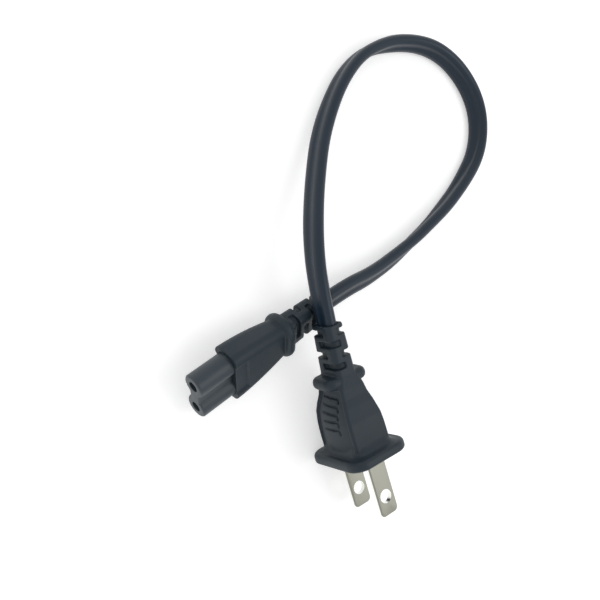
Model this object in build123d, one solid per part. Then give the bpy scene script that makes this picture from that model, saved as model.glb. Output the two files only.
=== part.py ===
from build123d import *
import os
from math import cos, radians, sin, tan

os.makedirs("parts", exist_ok=True)

# Power cord: a two-blade wall plug, a short flat twin flex and a two-pole appliance connector.
# Sizes are in millimetres. The origin is the centre of the plug's wall face, +X runs along the
# blades out of that face and +Z is up. The plug lies on the edge of its flange, and its neck
# rides over the neck of the connector.

# Plug blades
blade_spacing = 12.7
blade_width = 6.35
blade_thickness = 1.5
blade_reach = 17.6
blade_hole = 4.0
blade_hole_from_face = 11.9
blade_tip_corner = 1.5
blade_tip_bevel = 0.4
shank_width = 4.4
shank_depth = 9.0

# Plug moulding
flange_across = 20.6
flange_along = 24.5
flange_thickness = 2.9
flange_corner = 5.0
flange_front_edge = 0.5
flange_back_edge = 1.1
grip_across = 12.7
grip_along = 17.2
grip_corner = 1.0
grip_length = 22.3
grip_flare = 2.5
waist_across = 8.7
waist_along = 11.6
neck_bend_start = 14.0
neck_bend = 6.0
rail_height = 1.1
panel_step = 0.9
belly_rise = 1.5
belly_end_rise = 0.4
belly_fade = 2.0
groove_count = 5
groove_pitch = 2.3
groove_width = 0.7
groove_depth = 0.7
groove_reach = 7.6
groove_hook = 1.5
groove_first = 10.6
collar_gap = 0.3
collar_across = 15.0
collar_along = 10.0
collar_length = 3.5
collar_corner = 3.0
collar_edge = 1.5

# Appliance connector
contact_spacing = 8.6
nose_lobe = 6.9
nose_web = 3.9
nose_length = 11.0
nose_web_fillet = 0.4
nose_front_edge = 0.4
contact_bore = 3.0
shoulder_across = 8.8
shoulder_along = 17.6
shoulder_corner = 2.6
barrel_length = 18.3
barrel_taper = 1.7
barrel_across = 7.6
barrel_along = 12.0
step_length = 4.2
step_along = 11.0
step_depth = 0.5
ring_across = 11.2
ring_along = 14.4
ring_length = 3.2
ring_corner = 5.2
ring_edge = 1.4

# Strain reliefs, alike on the two mouldings
relief_root_across = 7.0
relief_root_along = 9.6
relief_tip_across = 6.2
relief_tip_along = 8.6
relief_corner = 1.8
relief_length = 14.6
slot_count = 4
slot_first = 2.7
slot_pitch = 3.27
slot_width = 1.8
slot_lap_across = 0.3
slot_lap_along = 1.5
slot_skin = 0.3
slot_core_flat = 0.4

# Flat twin flex: two lobes joined by a web, each lobe drawn with flats in place of its round
flex_along = 7.0
flex_across = 3.8
flex_web = 3.0
lobe_flats = 8
copper = 1.3
exit_run = 11.0
sheath_grip = 2.0
bend_share = 0.45

# Inner pieces
bridge_front = 2.0
bridge_depth = 6.0
bridge_across = 8.4
bridge_margin = 1.0
crimp_wall = 0.55
crimp_length = 5.0
crimp_floor = 1.0
wire_lead = 2.5
sleeve_wall = 0.35
sleeve_length = 9.5
sleeve_floor = 1.0
insert_tail = 3.0

# Where the connector lies: the centre of its nose face, and its heading, pitch and roll
connector_face = (-34.63, -41.68, -3.37)
connector_heading = -77.5
connector_pitch = 2.3
connector_roll = 48.0

# Each moulding is drawn in its own frame: Z runs from its mating face back along the cord,
# Y is the line through its two contacts and X lies across it.
plug_frame = Plane(origin=(0, 0, 0), x_dir=(0, -1, 0), z_dir=(-1, 0, 0))
connector_turn = Rot(0, 0, connector_heading) * Rot(0, -connector_pitch, 0) * Rot(connector_roll, 0, 0)
connector_frame = Plane(Pos(*connector_face) * connector_turn * plug_frame.location)

grip_start = flange_thickness - flange_back_edge
collar_start = grip_length + collar_gap
plug_relief_start = collar_start + collar_length
plug_relief_end = plug_relief_start + relief_length
plug_tail_start = grip_length
ring_start = nose_length + barrel_length
connector_relief_start = ring_start + ring_length
connector_relief_end = connector_relief_start + relief_length
connector_tail_start = ring_start - sheath_grip
lobe_offset = (flex_along - flex_across) / 2

# Shares of a moulding's length and angles round a rim at which a loft takes its sections
loft_steps = 8
loft_shares = [number / loft_steps for number in range(loft_steps + 1)]
rim_angles = (0, 30, 60, 90)
from_bottom = (Align.CENTER, Align.CENTER, Align.MIN)


def straight(distance):
    """The plane across a straight moulding, at a distance behind its face."""
    return Plane(origin=(0, 0, distance))


def bent(distance):
    """The plane across the plug, whose axis turns upward where the neck begins."""
    past = max(distance - neck_bend_start, 0)
    turn = radians(neck_bend) if past else 0
    origin = (0, past * sin(turn), distance - past + past * cos(turn))
    return Plane(origin=origin, x_dir=(1, 0, 0), z_dir=(0, sin(turn), cos(turn)))


def section(plane, across, along, corner):
    """A rounded rectangle on a plane across the moulding."""
    return (plane * RectangleRounded(across, along, corner)).face()


def rod(radius, start, length):
    """A round bar along the moulding, from a distance behind its face."""
    return Pos(0, 0, start) * Cylinder(radius, length, align=from_bottom)


def rim(start, way, across, along, corner, edge):
    """The rounded edge of a slab, which starts at a distance and runs back or forward."""
    sections = []
    for angle in rim_angles:
        inset = edge * (1 - cos(radians(angle)))
        plane = straight(start + way * edge * sin(radians(angle)))
        sections.append(section(plane, across - 2 * inset, along - 2 * inset, corner - inset))
    return loft(sections[::way], ruled=True)


def slab(length, across, along, corner, edge):
    """A slab across the moulding with both its edges rounded."""
    middle = extrude(section(straight(edge), across, along, corner), length - 2 * edge)
    front = rim(edge, -1, across, along, corner, edge)
    back = rim(length - edge, 1, across, along, corner, edge)
    return middle + front + back


def flex_profile():
    """The flex's outline: two lobes on Y and the web between them."""
    outline = Rectangle(flex_web, 2 * lobe_offset)
    for side in (1, -1):
        lobe = RegularPolygon(flex_across / 2, lobe_flats, major_radius=False, rotation=180 / lobe_flats)
        outline += Pos(0, side * lobe_offset) * lobe
    return outline


def relief(handed):
    """A tapered sleeve whose corners are slotted in turn, so that it bends with the flex."""
    root = section(straight(0), relief_root_across, relief_root_along, relief_corner)
    tip = section(straight(relief_length), relief_tip_across, relief_tip_along, relief_corner)
    sleeve = loft([root, tip])
    core_across, core_along = flex_across + 2 * slot_skin, flex_along + 2 * slot_skin
    core_corner = (core_across - slot_core_flat) / 2
    core = extrude(section(straight(0), core_across, core_along, core_corner), relief_length)
    for number in range(slot_count):
        height = slot_first + slot_pitch * number
        side = handed if number % 2 == 0 else -handed
        for end in (1, -1):
            corner = Pos(
                side * end * (relief_root_across / 2 - slot_lap_across),
                end * (relief_root_along / 2 - slot_lap_along),
                height,
            )
            slot = corner * Box(relief_root_across, relief_root_along, slot_width)
            sleeve -= slot - core
    return sleeve


def tail(start, end, station):
    """The straight end of the flex, held inside a moulding."""
    return extrude(station(start) * flex_profile(), end - start, dir=station(start).z_dir)


def wire(side, spacing, start, end, station):
    """A stripped copper core, from its crimp to its lobe of the flex."""
    path = Polyline(
        Vector(0, side * spacing / 2, start),
        Vector(0, side * spacing / 2, start + crimp_length),
        station(end - wire_lead).from_local_coords(Vector(0, side * lobe_offset, 0)),
        station(end).from_local_coords(Vector(0, side * lobe_offset, 0)),
    )
    profile = Plane(origin=path @ 0, z_dir=path % 0) * Circle(copper / 2)
    return sweep(profile, path=path, transition=Transition.RIGHT)


def grip_size(share):
    """How wide the grip is at a share of its length: across and along the contacts."""
    ease = (1 - cos(radians(180 * share**grip_flare))) / 2
    across = grip_across - (grip_across - waist_across) * ease
    along = grip_along - (grip_along - waist_along) * ease
    return across, along


def belly_reach(share):
    """How far a finger panel lies from the grip's middle: at its edges and at its crown."""
    edge = grip_size(share)[0] / 2 - panel_step
    bulge = cos(radians(90 * share**belly_fade))
    return edge, edge + belly_end_rise + (belly_rise - belly_end_rise) * bulge


def belly_section(plane, share, height):
    """The section of both finger panels: bulging at the sides, flat above and below."""
    edge, middle = belly_reach(share)
    right = ThreePointArc((edge, -height), (middle, 0), (edge, height))
    left = ThreePointArc((-edge, height), (-middle, 0), (-edge, -height))
    top = Line((edge, height), (-edge, height))
    bottom = Line((-edge, -height), (edge, -height))
    return plane * make_face([right, top, left, bottom])


def grip():
    """The plug's grip: two side rails, and between them two bulging finger panels."""
    outer, zone, belly = [], [], []
    for share in loft_shares:
        plane = bent(grip_start + share * (grip_length - grip_start))
        across, along = grip_size(share)
        outer.append(section(plane, across, along, grip_corner))
        zone.append((plane * Rectangle(2 * grip_across, along - 2 * rail_height)).face())
        belly.append(belly_section(plane, share, (along - rail_height) / 2).face())
    body = loft(outer, ruled=True) - loft(zone, ruled=True) + loft(belly, ruled=True)
    for number in range(groove_count):
        for side in (1, -1):
            body -= finger_groove(groove_first + number * groove_pitch, side)
    return body


def finger_groove(distance, side):
    """A hooked groove across a finger panel, sunk below the panel's bulge."""
    surface = belly_reach((distance - grip_start) / (grip_length - grip_start))[1]
    bar = Box(2 * groove_depth, groove_reach, groove_width)
    hook = Pos(0, side * (groove_reach - groove_width) / 2, -groove_hook / 2)
    bar += hook * Box(2 * groove_depth, groove_width, groove_hook)
    return bent(distance).location * Pos(side * surface, 0, 0) * bar


def plug_outside():
    """The plug's moulding from outside: flange, grip, waist, collar and strain relief."""
    flange = extrude(section(straight(0), flange_across, flange_along, flange_corner), grip_start)
    flange = chamfer(flange.edges().group_by(Axis.Z)[0], flange_front_edge)
    flange += rim(grip_start, 1, flange_across, flange_along, flange_corner, flange_back_edge)
    waist = section(bent(grip_length), waist_across, waist_along, grip_corner)
    root = section(bent(plug_relief_start), relief_root_across, relief_root_along, relief_corner)
    neck = loft([waist, root])
    collar = slab(collar_length, collar_across, collar_along, collar_corner, collar_edge)
    collar = bent(collar_start).location * collar
    sleeve = bent(plug_relief_start).location * relief(1)
    return flange + grip() + neck + collar + sleeve


def blade(side):
    """A flat blade with its hole, a narrower shank and a crimp barrel behind."""
    flat = Pos(0, 0, -blade_reach) * Box(
        blade_width, blade_thickness, blade_reach + bridge_front, align=from_bottom
    )
    tip = flat.edges().filter_by(Axis.Y).group_by(Axis.Z)[0]
    flat = fillet(tip, blade_tip_corner)
    flat = chamfer(flat.faces().sort_by(Axis.Z)[0].edges().filter_by(Axis.X), blade_tip_bevel)
    hole = Pos(0, 0, -blade_hole_from_face) * Rot(90, 0, 0) * Cylinder(blade_hole / 2, 2 * blade_thickness)
    shank = Pos(0, 0, bridge_front) * Box(
        shank_width, blade_thickness, shank_depth - bridge_front, align=from_bottom
    )
    barrel = rod(copper / 2 + crimp_wall, shank_depth, crimp_length)
    bore = rod(copper / 2, shank_depth + crimp_floor, crimp_length)
    return Pos(0, side * blade_spacing / 2, 0) * (flat - hole + shank + barrel - bore)


def bridge():
    """The rigid insert that holds the two blades apart inside the plug."""
    along = blade_spacing + blade_thickness + 2 * bridge_margin
    block = extrude(section(straight(bridge_front), bridge_across, along, bridge_margin), bridge_depth)
    for side in (1, -1):
        block -= blade(side)
    return block


def nose_profile():
    """The nose's outline: two round lobes and the web between them."""
    outline = Rectangle(nose_web, contact_spacing)
    for side in (1, -1):
        outline += Pos(0, side * contact_spacing / 2) * Circle(nose_lobe / 2)
    return fillet(outline.vertices(), nose_web_fillet)


def nose_blank():
    """The nose's outer form, from its front down to the tail held in the moulding."""
    block = extrude(nose_profile(), nose_length + insert_tail)
    return chamfer(block.edges().group_by(Axis.Z)[0], nose_front_edge)


def nose():
    """The connector's rigid insert, with a bore for each contact."""
    block = nose_blank()
    for side in (1, -1):
        block -= Pos(0, side * contact_spacing / 2, 0) * rod(contact_bore / 2, 0, 2 * nose_length)
    return block


def contact(side):
    """A sprung female sleeve in its bore, and the crimp barrel behind it."""
    end = nose_length + insert_tail
    start = end - sleeve_length
    sleeve = rod(contact_bore / 2, start, sleeve_length)
    sleeve -= rod(contact_bore / 2 - sleeve_wall, start, sleeve_length - sleeve_floor)
    barrel = rod(copper / 2 + crimp_wall, end, crimp_length)
    barrel -= rod(copper / 2, end + crimp_floor, crimp_length)
    return Pos(0, side * contact_spacing / 2, 0) * (sleeve + barrel)


def connector_outside():
    """The connector's moulding from outside: shoulder, barrel, ring and strain relief."""
    sections = []
    for share in loft_shares:
        ease = share**barrel_taper
        across = shoulder_across - (shoulder_across - barrel_across) * ease
        along = shoulder_along - (shoulder_along - barrel_along) * ease
        plane = straight(nose_length + share * barrel_length)
        sections.append(section(plane, across, along, shoulder_corner))
    body = loft(sections, ruled=True)
    for side in (1, -1):
        step = Pos(side * shoulder_across / 2, 0, nose_length + step_length / 2)
        body -= step * Box(2 * step_depth, step_along, step_length)
    ring = slab(ring_length, ring_across, ring_along, ring_corner, ring_edge)
    ring = straight(ring_start).location * ring
    sleeve = straight(connector_relief_start).location * relief(-1)
    return body + ring + sleeve


# Route of the flex between the two strain reliefs, chosen by hand to lie as in the photograph
plug_mouth = plug_frame.from_local_coords(bent(plug_relief_end).origin)
connector_mouth = connector_frame.from_local_coords(Vector(0, 0, connector_relief_end))
route = [
    plug_mouth,
    plug_frame.from_local_coords(bent(plug_relief_end + exit_run).origin),
    Vector(-65.0, 2.5, 1.4),
    Vector(-80.5, 12.0, -3.6),
    Vector(-97.5, 25.0, -7.4),
    Vector(-113.0, 42.5, -8.6),
    Vector(-120.0, 59.0, -8.7),
    Vector(-121.5, 82.5, -8.7),
    Vector(-111.5, 97.5, -8.7),
    Vector(-94.5, 103.5, -8.7),
    Vector(-77.5, 98.0, -8.7),
    Vector(-67.0, 82.5, -8.7),
    Vector(-58.5, 64.5, -8.7),
    Vector(-51.5, 44.5, -8.7),
    Vector(-48.0, 28.5, -7.6),
    connector_frame.from_local_coords(Vector(0, 0, connector_relief_end + exit_run)),
    connector_mouth,
]


def corner_radii(points):
    """One radius for each corner: as large as its two runs allow."""
    radii = []
    for before, corner, after in zip(points, points[1:], points[2:]):
        first, second = corner - before, after - corner
        turn = first.get_angle(second)
        radii.append(bend_share * min(first.length, second.length) / tan(radians(turn / 2)))
    return radii


def flex():
    """The flex: a run with its broad sides upright, and a straight tail in each moulding."""
    radii = corner_radii(route)
    path = FilletPolyline(*route, radius=radii)
    start = Plane(origin=route[0], x_dir=(0, 1, 0), z_dir=route[1] - route[0])
    run = sweep(start * flex_profile(), path=path)
    plug_tail = plug_frame.location * tail(plug_tail_start, plug_relief_end, bent)
    connector_tail = connector_frame.location * tail(connector_tail_start, connector_relief_end, straight)
    print("flex length", round(path.length, 1), "radii", [round(radius, 1) for radius in radii])
    expected = flex_profile().area * path.length
    print("flex volume", round(run.volume, 1), "section by length", round(expected, 1))
    return run + plug_tail + connector_tail


blades = {side: blade(side) for side in (1, -1)}
contacts = {side: contact(side) for side in (1, -1)}
plug_wire_start = shank_depth + crimp_floor
connector_wire_start = nose_length + insert_tail + crimp_floor
plug_wires = {
    side: wire(side, blade_spacing, plug_wire_start, plug_tail_start, bent) for side in (1, -1)
}
connector_wires = {
    side: wire(side, contact_spacing, connector_wire_start, connector_tail_start, straight)
    for side in (1, -1)
}

plug_cover = plug_outside() - bridge()
for side in (1, -1):
    plug_cover -= blades[side]
    plug_cover -= plug_wires[side]
plug_cover -= tail(plug_tail_start, plug_relief_end, bent)

connector_cover = connector_outside() - nose_blank()
for side in (1, -1):
    connector_cover -= contacts[side]
    connector_cover -= connector_wires[side]
connector_cover -= tail(connector_tail_start, connector_relief_end, straight)

plug_pieces = {
    "plug_overmould": plug_cover,
    "plug_bridge": bridge(),
    "blade_upper": blades[1],
    "blade_lower": blades[-1],
    "plug_wire_upper": plug_wires[1],
    "plug_wire_lower": plug_wires[-1],
}
connector_pieces = {
    "connector_overmould": connector_cover,
    "connector_nose": nose(),
    "contact_upper": contacts[1],
    "contact_lower": contacts[-1],
    "connector_wire_upper": connector_wires[1],
    "connector_wire_lower": connector_wires[-1],
}

pieces = {"flex": flex()}
for name, shape in plug_pieces.items():
    pieces[name] = plug_frame.location * shape
for name, shape in connector_pieces.items():
    pieces[name] = connector_frame.location * shape
for name, shape in pieces.items():
    shape.label = name
    export_step(shape, f"parts/{name}.step")
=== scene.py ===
from math import acos, cos, dist, radians, sin

import bmesh
import bpy
from mathutils import Matrix, Vector


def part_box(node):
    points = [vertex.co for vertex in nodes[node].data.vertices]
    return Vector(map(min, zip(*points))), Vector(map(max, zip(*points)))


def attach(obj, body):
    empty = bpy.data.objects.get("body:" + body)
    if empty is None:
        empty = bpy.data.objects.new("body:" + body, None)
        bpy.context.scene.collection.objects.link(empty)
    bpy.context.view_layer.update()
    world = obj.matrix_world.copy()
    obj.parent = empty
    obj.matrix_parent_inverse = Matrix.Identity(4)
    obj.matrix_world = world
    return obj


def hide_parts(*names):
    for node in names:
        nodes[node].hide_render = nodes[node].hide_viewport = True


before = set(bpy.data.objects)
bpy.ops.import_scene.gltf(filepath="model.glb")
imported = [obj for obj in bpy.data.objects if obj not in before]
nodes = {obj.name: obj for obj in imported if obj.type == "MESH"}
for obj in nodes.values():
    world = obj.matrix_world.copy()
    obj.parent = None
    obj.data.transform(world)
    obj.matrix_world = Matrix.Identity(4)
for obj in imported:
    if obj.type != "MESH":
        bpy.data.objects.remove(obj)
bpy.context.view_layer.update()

# Power cord: a two-blade wall plug, a flat twin flex and a two-pole appliance connector.
# Lengths are in metres, in the part's own frame: the origin is the centre of the plug's wall
# face, +X runs along the blades and +Z is up.

mm = 0.001

# Flex: the control points of its smooth line, in millimetres, from mouth to mouth
route_mm = [
    (-40.55, 0.0, 2.79),
    (-51.49, 0.0, 3.94),
    (-65.0, 4.7, 1.4),
    (-80.0, 14.0, -3.6),
    (-97.3, 25.7, -7.6),
    (-114.0, 41.9, -8.7),
    (-121.4, 58.4, -8.7),
    (-120.2, 81.5, -8.7),
    (-110.6, 95.4, -8.8),
    (-94.8, 101.6, -8.9),
    (-79.0, 95.8, -8.9),
    (-68.0, 81.5, -8.7),
    (-59.0, 64.2, -8.7),
    (-51.8, 44.4, -8.6),
    (-48.0, 28.5, -7.6),
    (-47.19, 15.0, -5.7),
    (-44.81, 4.27, -5.26),
]
spline_order = 3
spline_resolution = 20

# Flex: its length, its section, and how far its ends reach into the mouldings
flex_along = 7.0 * mm
flex_across = 3.8 * mm
flex_web = 3.0 * mm
lobe_steps = 16
sheath_inside = 3.0 * mm

# Flex: how far its width leans from upright, in degrees, at a share of its length
flex_lean = [
    (0.0, 0.0),
    (0.05, 5.0),
    (0.13, 14.0),
    (0.24, 21.0),
    (0.30, 14.0),
    (0.37, 3.0),
    (0.42, -17.0),
    (0.50, -22.0),
    (0.58, -36.0),
    (0.66, -28.0),
    (0.73, -8.0),
    (0.80, 14.0),
    (0.88, 38.0),
    (0.94, 48.0),
    (1.0, 48.0),
]

# Plug: the flared foot where the grip runs out into the flange. It starts inside the flange and
# goes back towards the cord, and its sizes across and up are given at the flange and at the grip.
foot_start = -2.3 * mm
foot_plate = 0.5 * mm
foot_depth = 4.0 * mm
foot_wide = (17.4 * mm, 22.8 * mm)
foot_narrow = (11.8 * mm, 17.0 * mm)
foot_corner = 3.6 * mm
foot_corner_steps = 6
foot_steps = 8
looks_back = -0.9

# Mouldings: how finely each is remeshed, and how much it is smoothed
plug_voxel = 0.22 * mm
connector_voxel = 0.19 * mm
soften_factor = 0.5
soften_passes = 3

# Hard pieces: the width of their broken edges, the angle from which an edge is broken, and the
# angle up to which the triangles of a flat face are joined
nose_edge = 0.15 * mm
blade_edge = 0.12 * mm
edge_steps = 3
edge_angle = radians(32)
flat_angle = radians(0.5)

# Blades: how far up or down a face must look to belong to a broad side; the rest get a painted
# highlight
broad_face = 0.6

# All pieces: how near two points are merged, and the angle up to which a shape is shaded smooth
merge_distance = 0.001 * mm
smooth_angle = radians(35)

# Materials: the detail of the noises, the strength of the relief, and how much plastic reflects
grain_detail = 3.0
line_detail = 2.0
relief_strength = 0.5
plastic_specular = 0.4

# Camera, fitted to the plug and the connector in the photograph, with its lens and sensor in
# millimetres
camera_place = Vector((-66.654, -92.877, 144.791)) * mm
camera_right = Vector((0.285, 0.803, 0.524))
camera_up = Vector((-0.953, 0.295, 0.066))
camera_lens = 36.0
camera_sensor = 36.0
camera_near = 5.0 * mm

# Floor, at the lowest point of the plug's moulding
floor_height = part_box("plug_overmould")[0].z
floor_size = 6.0
floor_white = 0.86
floor_glow = 0.45

# Light: the surround, and one lamp that faces the middle of the cord
light_at_horizon = 0.95
light_overhead = 0.6
lamp_place = Vector((0.15, 0.38, 0.8))
lamp_aim = Vector((-0.06, 0.02, 0.0))
lamp_size = 0.5
lamp_power = 1.3


def only(piece):
    """Selects one object alone and makes it active."""
    bpy.ops.object.select_all(action="DESELECT")
    piece.select_set(True)
    bpy.context.view_layer.objects.active = piece


def choose(piece, kind, wanted):
    """Opens a mesh for editing with only the edges or faces selected that pass a test."""
    only(piece)
    bpy.ops.object.mode_set(mode="EDIT")
    bpy.ops.mesh.select_mode(type=kind)
    bpy.ops.mesh.select_all(action="DESELECT")
    bpy.ops.object.mode_set(mode="OBJECT")
    parts = piece.data.edges if kind == "EDGE" else piece.data.polygons
    for part in parts:
        part.select = wanted(part)
    bpy.ops.object.mode_set(mode="EDIT")


def apply_modifiers(piece):
    """Applies a piece's modifiers in their order."""
    only(piece)
    for modifier in list(piece.modifiers):
        bpy.ops.object.modifier_apply(modifier=modifier.name)


def merged_copy(name, node):
    """A copy of a node's shape, with its loose triangles joined."""
    piece = bpy.data.objects.new(name, nodes[node].data.copy())
    bpy.context.scene.collection.objects.link(piece)
    only(piece)
    bpy.ops.object.mode_set(mode="EDIT")
    bpy.ops.mesh.select_all(action="SELECT")
    bpy.ops.mesh.remove_doubles(threshold=merge_distance)
    bpy.ops.object.mode_set(mode="OBJECT")
    return piece


def dress(piece, material):
    """Gives a piece one material, in place of what it had."""
    piece.data.materials.clear()
    piece.data.materials.append(material)


# Materials


def effect_group(name, numbers):
    """An empty node group: a place and named numbers go in, a height and a mottle come out."""
    group = bpy.data.node_groups.new(name, "ShaderNodeTree")
    group.interface.new_socket("Place", in_out="INPUT", socket_type="NodeSocketVector")
    for label, value in numbers:
        socket = group.interface.new_socket(label, in_out="INPUT", socket_type="NodeSocketFloat")
        socket.default_value = value
    for label in ("Height", "Mottle"):
        group.interface.new_socket(label, in_out="OUTPUT", socket_type="NodeSocketFloat")
    return group, group.nodes.new("NodeGroupInput"), group.nodes.new("NodeGroupOutput")


def add_noise(group, entry, scale, detail, result):
    """Adds a noise at a group's place, of a linked scale, that gives one of its results."""
    noise = group.nodes.new("ShaderNodeTexNoise")
    noise.inputs["Detail"].default_value = detail
    group.links.new(entry.outputs["Place"], noise.inputs["Vector"])
    group.links.new(scale, noise.inputs["Scale"])
    group.links.new(noise.outputs["Fac"], result)


def grain_group():
    """A fine moulded texture: a height for bump and a slow mottle for colour and gloss."""
    numbers = (("Grain per metre", 3000.0), ("Mottle per metre", 120.0))
    group, entry, leave = effect_group("moulded_grain", numbers)
    fine = entry.outputs["Grain per metre"]
    slow = entry.outputs["Mottle per metre"]
    add_noise(group, entry, fine, grain_detail, leave.inputs["Height"])
    add_noise(group, entry, slow, grain_detail, leave.inputs["Mottle"])
    return group


def drawn_group():
    """Long fine lines, as a die or a roll leaves them: a height and a streaky mottle."""
    numbers = (("Lines per metre", 2500.0), ("Streak", 0.5))
    group, entry, leave = effect_group("drawn_lines", numbers)
    fine = entry.outputs["Lines per metre"]
    coarse = group.nodes.new("ShaderNodeMath")
    coarse.operation = "MULTIPLY"
    group.links.new(fine, coarse.inputs[0])
    group.links.new(entry.outputs["Streak"], coarse.inputs[1])
    add_noise(group, entry, fine, line_detail, leave.inputs["Height"])
    add_noise(group, entry, coarse.outputs["Value"], line_detail, leave.inputs["Mottle"])
    return group


moulded_grain = grain_group()
drawn_lines = drawn_group()


def finish(name, effect, place, fineness, colours, rough, bump):
    """A material whose colour, gloss and bump come from one effect group.

    place names a texture coordinate and how far it is squeezed along each axis, fineness is
    the group's first number, colours and rough are each a pair that the mottle mixes, and bump
    is how high the relief stands."""
    material = bpy.data.materials.new(name)
    material.use_nodes = True
    tree = material.node_tree
    shader = tree.nodes["Principled BSDF"]
    coordinates = tree.nodes.new("ShaderNodeTexCoord")
    squeeze = tree.nodes.new("ShaderNodeMapping")
    squeeze.inputs["Scale"].default_value = place[1]
    tree.links.new(coordinates.outputs[place[0]], squeeze.inputs["Vector"])
    texture = tree.nodes.new("ShaderNodeGroup")
    texture.node_tree = effect
    texture.inputs[1].default_value = fineness
    tree.links.new(squeeze.outputs["Vector"], texture.inputs["Place"])
    colour = tree.nodes.new("ShaderNodeMix")
    colour.data_type = "RGBA"
    colour.inputs["A"].default_value = (*colours[0], 1)
    colour.inputs["B"].default_value = (*colours[1], 1)
    tree.links.new(texture.outputs["Mottle"], colour.inputs["Factor"])
    tree.links.new(colour.outputs["Result"], shader.inputs["Base Color"])
    shine = tree.nodes.new("ShaderNodeMapRange")
    shine.inputs["To Min"].default_value = rough[0]
    shine.inputs["To Max"].default_value = rough[1]
    tree.links.new(texture.outputs["Mottle"], shine.inputs["Value"])
    tree.links.new(shine.outputs["Result"], shader.inputs["Roughness"])
    relief = tree.nodes.new("ShaderNodeBump")
    relief.inputs["Strength"].default_value = relief_strength
    relief.inputs["Distance"].default_value = bump
    tree.links.new(texture.outputs["Height"], relief.inputs["Height"])
    tree.links.new(relief.outputs["Normal"], shader.inputs["Normal"])
    return material


all_ways = ("Object", (1, 1, 1))
along_blades = ("Object", (0.02, 1, 1))
along_flex = ("UV", (1, 0.01, 1))

overmould_black = finish(
    "overmould_black", moulded_grain, all_ways, fineness=4200.0,
    colours=((0.012, 0.023, 0.033), (0.017, 0.030, 0.041)), rough=(0.44, 0.58), bump=0.03 * mm,
)
insert_black = finish(
    "insert_black", moulded_grain, all_ways, fineness=3000.0,
    colours=((0.028, 0.042, 0.054), (0.036, 0.051, 0.064)), rough=(0.38, 0.48), bump=0.015 * mm,
)
flex_black = finish(
    "flex_black", drawn_lines, along_flex, fineness=2600.0,
    colours=((0.007, 0.018, 0.034), (0.012, 0.025, 0.043)), rough=(0.28, 0.42), bump=0.02 * mm,
)
nickel = finish(
    "nickel", drawn_lines, along_blades, fineness=5000.0,
    colours=((0.30, 0.30, 0.255), (0.355, 0.355, 0.305)), rough=(0.30, 0.46), bump=0.006 * mm,
)
# Painted highlight: near-white nickel for the blades' narrow sides and hole, partly their cut
# metal
edge_highlight_nickel = finish(
    "edge_highlight_nickel", drawn_lines, along_blades, fineness=7000.0,
    colours=((0.86, 0.86, 0.81), (0.93, 0.93, 0.88)), rough=(0.16, 0.28), bump=0.004 * mm,
)
spring_brass = finish(
    "spring_brass", moulded_grain, all_ways, fineness=1800.0,
    colours=((0.52, 0.44, 0.26), (0.62, 0.54, 0.33)), rough=(0.30, 0.45), bump=0.006 * mm,
)
copper = finish(
    "copper", moulded_grain, all_ways, fineness=1800.0,
    colours=((0.66, 0.36, 0.24), (0.76, 0.45, 0.31)), rough=(0.30, 0.45), bump=0.006 * mm,
)
for metal in (nickel, edge_highlight_nickel, spring_brass, copper):
    shader = metal.node_tree.nodes["Principled BSDF"]
    shader.inputs["Metallic"].default_value = 1.0
for plastic in (overmould_black, flex_black):
    shader = plastic.node_tree.nodes["Principled BSDF"]
    shader.inputs["Specular IOR Level"].default_value = plastic_specular


# Flex


def route_points():
    """The flex's smooth line: a spline over the route, read back as evenly close points."""
    curve = bpy.data.curves.new("flex_route", "CURVE")
    curve.dimensions = "3D"
    curve.resolution_u = spline_resolution
    spline = curve.splines.new("NURBS")
    spline.points.add(len(route_mm) - 1)
    for point, place in zip(spline.points, route_mm):
        point.co = (*(Vector(place) * mm), 1.0)
    spline.order_u = spline_order
    spline.use_endpoint_u = True
    line = bpy.data.objects.new("flex_route", curve)
    bpy.context.scene.collection.objects.link(line)
    bpy.context.view_layer.update()
    ready = line.evaluated_get(bpy.context.evaluated_depsgraph_get())
    mesh = bpy.data.meshes.new_from_object(ready)
    points = [vertex.co.copy() for vertex in mesh.vertices]
    bpy.data.meshes.remove(mesh)
    bpy.data.objects.remove(line)
    bpy.data.curves.remove(curve)
    return points


def flex_outline():
    """The flex's section: two round lobes, one above the other, with a groove on each side."""
    offset = (flex_along - flex_across) / 2
    radius = flex_across / 2
    dip = acos(flex_web / 2 / radius)
    sweep = radians(180) + 2 * dip
    outline = []
    for side in (1, -1):
        for step in range(lobe_steps + 1):
            angle = -dip + sweep * step / lobe_steps
            outline.append((side * radius * cos(angle), side * (offset + radius * sin(angle))))
    return outline


def lean_at(share):
    """The flex's lean at a share of its length, eased between the stated places."""
    for (start, first), (end, second) in zip(flex_lean, flex_lean[1:]):
        if share <= end:
            part = (share - start) / (end - start)
            return radians(first + (second - first) * part * part * (3 - 2 * part))
    return radians(flex_lean[-1][1])


def running_lengths(points):
    """How far along a row of points each of them lies."""
    lengths = [0.0]
    for before, after in zip(points, points[1:]):
        lengths.append(lengths[-1] + dist(before, after))
    return lengths


def flex_rings(body, points, lengths, outline):
    """The flex's section at each point of its line, square to the line and leaning as stated."""
    rings = []
    for number, point in enumerate(points):
        ahead = points[min(number + 1, len(points) - 1)]
        behind = points[max(number - 1, 0)]
        along = (ahead - behind).normalized()
        side = along.cross(Vector((0, 0, 1))).normalized()
        upright = side.cross(along)
        lean = lean_at(lengths[number] / lengths[-1])
        width = upright * cos(lean) + side * sin(lean)
        broad = width.cross(along)
        rings.append([body.verts.new(point + broad * x + width * y) for x, y in outline])
    return rings


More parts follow.
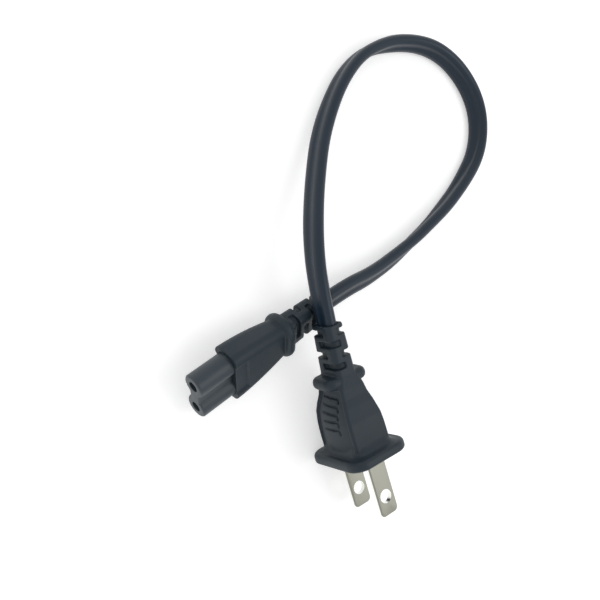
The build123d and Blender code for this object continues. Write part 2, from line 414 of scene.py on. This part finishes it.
def flex_tube(line):
    """The flex as a tube with closed ends, twisted as it lies, and let into both mouldings."""
    first_end = line[0] + (line[0] - line[1]).normalized() * sheath_inside
    last_end = line[-1] + (line[-1] - line[-2]).normalized() * sheath_inside
    points = [first_end, *line, last_end]
    lengths = running_lengths(points)
    outline = flex_outline()
    around = running_lengths([*outline, outline[0]])
    body = bmesh.new()
    rings = flex_rings(body, points, lengths, outline)
    unrolled = body.loops.layers.uv.new("unrolled")
    for ring, (first, second) in enumerate(zip(rings, rings[1:])):
        for left in range(len(outline)):
            right = (left + 1) % len(outline)
            face = body.faces.new((first[left], first[right], second[right], second[left]))
            places = ((left, ring), (left + 1, ring), (left + 1, ring + 1), (left, ring + 1))
            for loop, (turn, step) in zip(face.loops, places):
                loop[unrolled].uv = (around[turn], lengths[step])
    body.faces.new(rings[0][::-1])
    body.faces.new(rings[-1])
    bmesh.ops.recalc_face_normals(body, faces=body.faces)
    mesh = bpy.data.meshes.new("flex_sheath")
    body.to_mesh(mesh)
    body.free()
    piece = bpy.data.objects.new("flex_sheath", mesh)
    bpy.context.scene.collection.objects.link(piece)
    only(piece)
    bpy.ops.object.shade_smooth_by_angle(angle=smooth_angle)
    return piece


# Mouldings


def flared_foot():
    """The concave foot of the plug's grip: a rounded plate drawn in towards the cord."""
    bpy.ops.object.select_all(action="DESELECT")
    bpy.ops.mesh.primitive_cube_add(size=1, location=(foot_start - foot_plate / 2, 0, 0))
    foot = bpy.context.active_object
    foot.scale = (foot_plate, *foot_wide)
    bpy.ops.object.transform_apply(location=True, rotation=True, scale=True)

    def runs_along_x(edge):
        first, second = (foot.data.vertices[number].co for number in edge.vertices)
        return abs(first.x - second.x) > foot_plate / 2

    choose(foot, "EDGE", runs_along_x)
    bpy.ops.mesh.bevel(offset=foot_corner, segments=foot_corner_steps)
    bpy.ops.object.mode_set(mode="OBJECT")
    choose(foot, "FACE", lambda face: face.normal.x < looks_back)
    before = foot_wide
    for step in range(1, foot_steps + 1):
        left = 1 - step / foot_steps
        flare = 1 - (1 - left**2) ** 0.5
        after = [slim + (wide - slim) * flare for slim, wide in zip(foot_narrow, foot_wide)]
        bpy.ops.mesh.extrude_region_move(
            TRANSFORM_OT_translate={"value": (-foot_depth / foot_steps, 0, 0)}
        )
        bpy.ops.transform.resize(value=(1, after[0] / before[0], after[1] / before[1]))
        before = after
    bpy.ops.object.mode_set(mode="OBJECT")
    return foot


def softened(name, node, voxel, extra=None):
    """A moulding with its edges rounded over, from the shape of its solid and an extra form."""
    piece = merged_copy(name, node)
    if extra:
        extra.select_set(True)
        bpy.ops.object.join()
    remesh = piece.modifiers.new("even", "REMESH")
    remesh.mode = "VOXEL"
    remesh.voxel_size = voxel
    smooth = piece.modifiers.new("soften", "SMOOTH")
    smooth.factor = soften_factor
    smooth.iterations = soften_passes
    apply_modifiers(piece)
    bpy.ops.object.shade_smooth()
    return piece


# Nose and blades


def crisp(name, node, edge):
    """A hard piece with its sharp edges just broken, from the shape of its solid."""
    piece = merged_copy(name, node)
    bpy.ops.object.mode_set(mode="EDIT")
    bpy.ops.mesh.select_all(action="SELECT")
    bpy.ops.mesh.dissolve_limited(angle_limit=flat_angle)
    bpy.ops.object.mode_set(mode="OBJECT")
    bevel = piece.modifiers.new("broken edges", "BEVEL")
    bevel.limit_method = "ANGLE"
    bevel.angle_limit = edge_angle
    bevel.width = edge
    bevel.segments = edge_steps
    bevel.harden_normals = True
    bpy.ops.object.shade_smooth_by_angle(angle=smooth_angle)
    apply_modifiers(piece)
    return piece


def paint_edge_highlight(blade):
    """Paints a highlight on a blade's narrow sides and hole, partly their brighter cut metal."""
    blade.data.materials.append(edge_highlight_nickel)
    for face in blade.data.polygons:
        if abs(face.normal.z) < broad_face:
            face.material_index = 1


# Pieces

flex_line = route_points()
flex = flex_tube(flex_line)
dress(flex, flex_black)
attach(flex, "root")
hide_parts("flex")

plug_body = softened("plug_body", "plug_overmould", plug_voxel, flared_foot())
connector_body = softened("connector_body", "connector_overmould", connector_voxel)
nose = crisp("nose", "connector_nose", nose_edge)
upper_blade = crisp("upper_blade", "blade_upper", blade_edge)
lower_blade = crisp("lower_blade", "blade_lower", blade_edge)
for piece, node, material, slot in (
    (plug_body, "plug_overmould", overmould_black, "overmould"),
    (connector_body, "connector_overmould", overmould_black, "overmould"),
    (nose, "connector_nose", insert_black, "insert"),
    (upper_blade, "blade_upper", nickel, "blades"),
    (lower_blade, "blade_lower", nickel, "blades"),
):
    dress(piece, material)
    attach(piece, "root")
    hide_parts(node)

# Painted highlight on the blades' narrow sides and hole
for blade in (upper_blade, lower_blade):
    paint_edge_highlight(blade)

dress(nodes["plug_bridge"], insert_black)
for name in ("contact_upper", "contact_lower"):
    dress(nodes[name], spring_brass)
for name in ("plug_wire_upper", "plug_wire_lower", "connector_wire_upper", "connector_wire_lower"):
    dress(nodes[name], copper)


# Floor, light and camera


def camera_ray_emission(tree, strength):
    """Light that only the camera and reflections see, so that a pale surface shows as white."""
    rays = tree.nodes.new("ShaderNodeLightPath")
    seen = tree.nodes.new("ShaderNodeMath")
    seen.operation = "MAXIMUM"
    tree.links.new(rays.outputs["Is Camera Ray"], seen.inputs[0])
    tree.links.new(rays.outputs["Is Glossy Ray"], seen.inputs[1])
    power = tree.nodes.new("ShaderNodeMath")
    power.operation = "MULTIPLY"
    power.inputs[1].default_value = strength
    tree.links.new(seen.outputs["Value"], power.inputs[0])
    return power.outputs["Value"]


def make_floor():
    """A plain pale floor."""
    bpy.ops.object.select_all(action="DESELECT")
    bpy.ops.mesh.primitive_plane_add(size=floor_size, location=(0, 0, floor_height))
    floor = bpy.context.active_object
    floor.name = "floor"
    material = bpy.data.materials.new("pale_floor")
    material.use_nodes = True
    shader = material.node_tree.nodes["Principled BSDF"]
    shader.inputs["Base Color"].default_value = (floor_white, floor_white, floor_white, 1)
    shader.inputs["Roughness"].default_value = 1.0
    shader.inputs["Specular IOR Level"].default_value = 0.0
    shader.inputs["Emission Color"].default_value = (1, 1, 1, 1)
    glow = camera_ray_emission(material.node_tree, floor_glow)
    material.node_tree.links.new(glow, shader.inputs["Emission Strength"])
    dress(floor, material)


def make_world():
    """A plain white surround that lights everything softly, a little less from overhead."""
    world = bpy.data.worlds.new("soft_white")
    bpy.context.scene.world = world
    world.use_nodes = True
    tree = world.node_tree
    shade = tree.nodes["Background"]
    shade.inputs["Color"].default_value = (1, 1, 1, 1)
    direction = tree.nodes.new("ShaderNodeTexCoord")
    height = tree.nodes.new("ShaderNodeSeparateXYZ")
    tree.links.new(direction.outputs["Generated"], height.inputs["Vector"])
    fall = tree.nodes.new("ShaderNodeMapRange")
    fall.inputs["To Min"].default_value = light_at_horizon
    fall.inputs["To Max"].default_value = light_overhead
    tree.links.new(height.outputs["Z"], fall.inputs["Value"])
    tree.links.new(fall.outputs["Result"], shade.inputs["Strength"])


def make_lamp():
    """A square soft lamp that faces the middle of the cord."""
    lamp = bpy.data.lights.new("key", "AREA")
    lamp.size = lamp_size
    lamp.energy = lamp_power
    holder = bpy.data.objects.new("key", lamp)
    bpy.context.scene.collection.objects.link(holder)
    holder.location = lamp_place
    holder.rotation_euler = (lamp_aim - lamp_place).to_track_quat("-Z", "Y").to_euler()


def make_camera():
    """The camera where the photograph was taken from."""
    back = camera_right.cross(camera_up).normalized()
    right = camera_up.cross(back).normalized()
    up = back.cross(right)
    lens = bpy.data.cameras.new("camera")
    lens.lens = camera_lens
    lens.sensor_width = camera_sensor
    lens.clip_start = camera_near
    camera = bpy.data.objects.new("camera", lens)
    bpy.context.scene.collection.objects.link(camera)
    turn = Matrix((right, up, back)).transposed().to_4x4()
    camera.matrix_world = Matrix.Translation(camera_place) @ turn
    bpy.context.scene.camera = camera


make_floor()
make_world()
make_lamp()
make_camera()
bpy.context.scene.view_settings.view_transform = "Standard"
